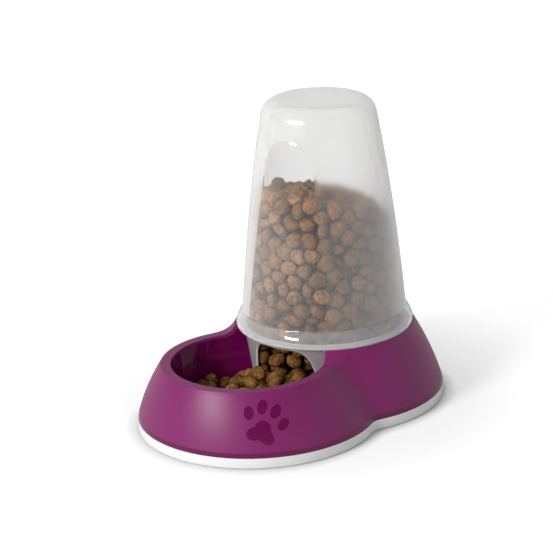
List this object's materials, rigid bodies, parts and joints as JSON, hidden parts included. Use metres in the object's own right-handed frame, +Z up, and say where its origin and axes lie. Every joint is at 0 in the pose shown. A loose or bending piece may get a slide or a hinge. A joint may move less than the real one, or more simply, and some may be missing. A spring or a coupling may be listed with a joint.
{
  "type": "pet food dispenser",
  "caption": "Gravity pet feeder: a frosted tapered hopper stands on a figure-eight base and lets dry food run through a round sleeve into the bowl in front.",
  "frame": {"origin": "centre of the foot on the floor, halfway between the front of the bowl lobe and the back of the hopper lobe", "axes": "+Z up, -Y towards the bowl, +X to the right when the bowl faces the viewer"},
  "size_m": [0.187, 0.266, 0.242],
  "materials": {
    "shell_plastic": "fine matte texture, purple",
    "tray_plastic": "polished, purple",
    "ring_rubber": "soft matte, white",
    "sleeve_plastic": "translucent grey",
    "hopper_plastic": "frosted translucent with a polished clear front panel"
  },
  "bodies": {
    "base": {"base_shell": "shell_plastic", "feed_tray": "tray_plastic", "non_slip_ring": "ring_rubber"},
    "outlet": {"outlet_sleeve": "sleeve_plastic"},
    "hopper": {"hopper": "hopper_plastic"}
  },
  "joints": [
    {"name": "outlet_turn", "type": "hinge", "parent": "base", "child": "outlet", "pos_m": [0, 0.0395, 0.0605], "axis": [0, 0, 1], "continuous": true},
    {"name": "hopper_lift", "type": "slide", "parent": "outlet", "child": "hopper", "axis": [0, 0, 1], "range_m": [0, 0.1]}
  ]
}
